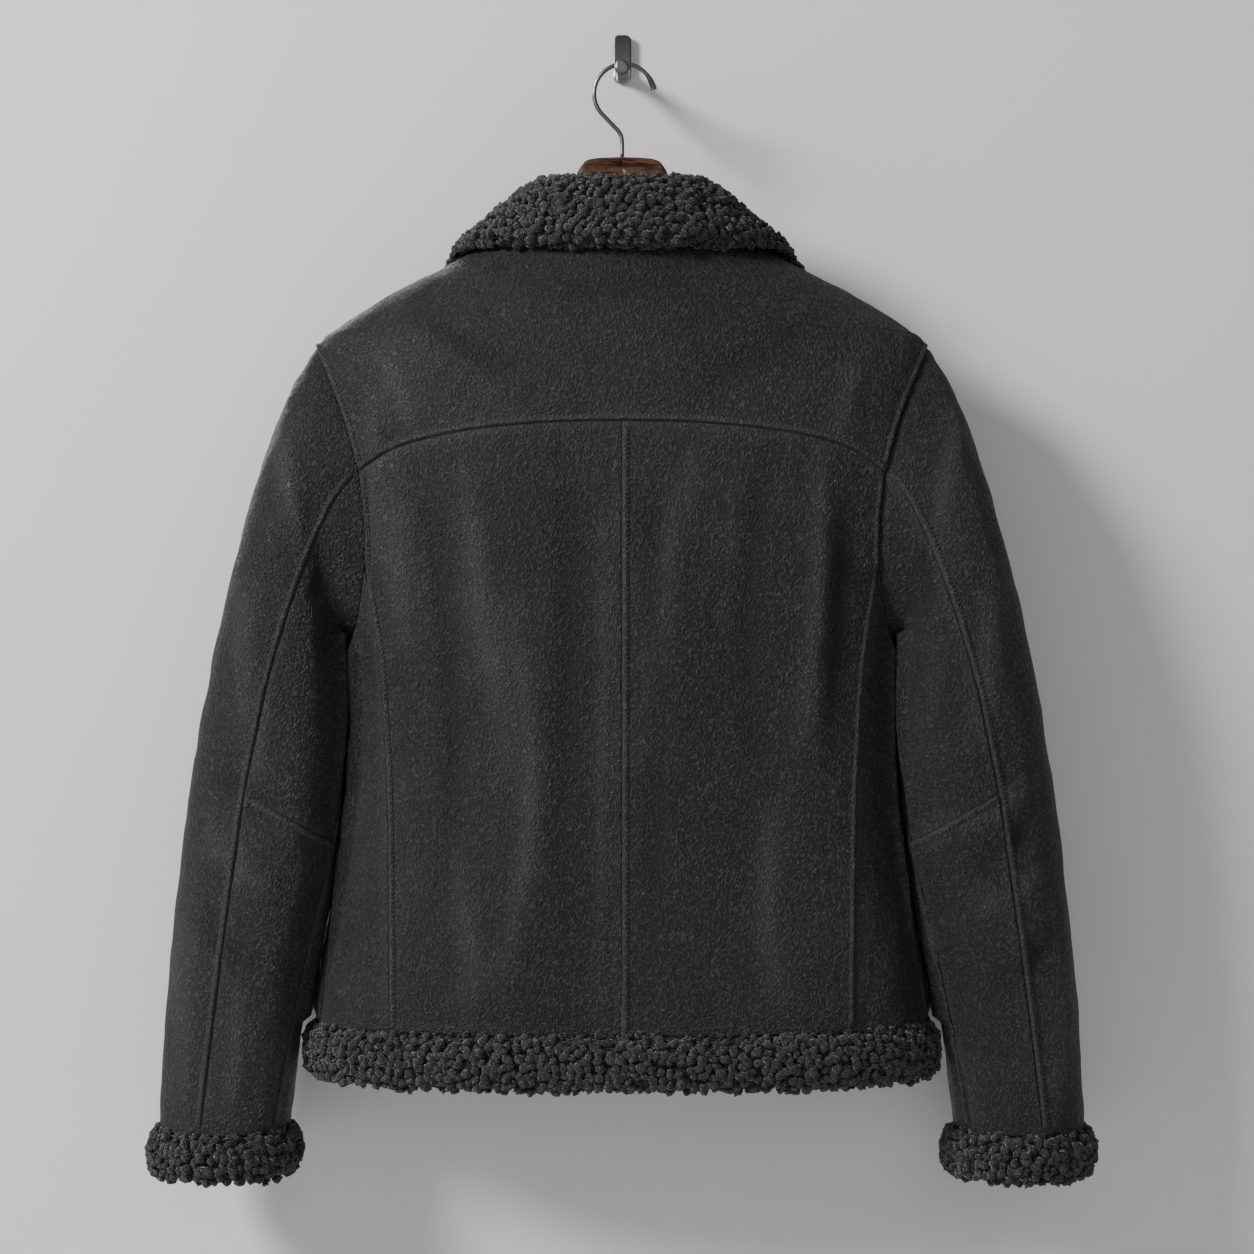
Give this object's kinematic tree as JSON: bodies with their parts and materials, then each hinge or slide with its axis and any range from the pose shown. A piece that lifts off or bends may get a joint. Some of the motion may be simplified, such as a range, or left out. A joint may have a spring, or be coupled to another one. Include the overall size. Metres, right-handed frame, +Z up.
{
  "type": "sheepskin flying jacket on a hanger and wall hook",
  "caption": "Dark shearling flying jacket hung on a wooden hanger from a wall hook: paneled leather back and sleeves, curly fur collar, cuffs and hem, open neck and hem.",
  "frame": {"origin": "middle of the wall hook plate's back face, on the wall that holds it", "axes": "+Y into the wall, out of the plate's back face; +Z up, the long way of the hung jacket; +X to the right for someone who faces the wall. The back of the jacket faces -Y."},
  "size_m": [0.7418, 0.1839, 0.9068],
  "materials": {
    "leather": "worn matte suede side, dark brown to black",
    "fur": "curly sheepskin wool, near black",
    "zip_tape": "woven tape",
    "zip_metal": "dark antique brass",
    "hanger_wood": "dark brown lacquer",
    "hanger_wire": "worn plated steel wire",
    "hook_steel": "satin steel"
  },
  "bodies": {
    "jacket": {"back_yoke": "leather", "back_left": "leather", "side_left": "leather", "front_left": "leather", "sleeve_top_left": "leather", "sleeve_under_upper_left": "leather", "sleeve_under_lower_left": "leather", "cuff_fur_left": "fur", "hem_fur_left": "fur", "zip_tape_left": "zip_tape", "hanger_left": "hanger_wood", "back_right": "leather", "side_right": "leather", "front_right": "leather", "sleeve_top_right": "leather", "sleeve_under_upper_right": "leather", "sleeve_under_lower_right": "leather", "cuff_fur_right": "fur", "hem_fur_right": "fur", "zip_tape_right": "zip_tape", "hanger_right": "hanger_wood", "hem_fur_back": "fur", "collar": "fur", "zip_slider": "zip_metal", "hanger_hook": "hanger_wire", "wall_hook_arm": "hook_steel", "wall_hook_plate": "hook_steel"},
    "pull_tab": {"zip_pull_tab": "zip_metal"}
  },
  "joints": [
    {"name": "pull_tab_hinge", "type": "hinge", "parent": "jacket", "child": "pull_tab", "pos_m": [0, -0.02581, -0.28513], "axis": [1, 0, 0], "range_deg": [0, 140]}
  ]
}
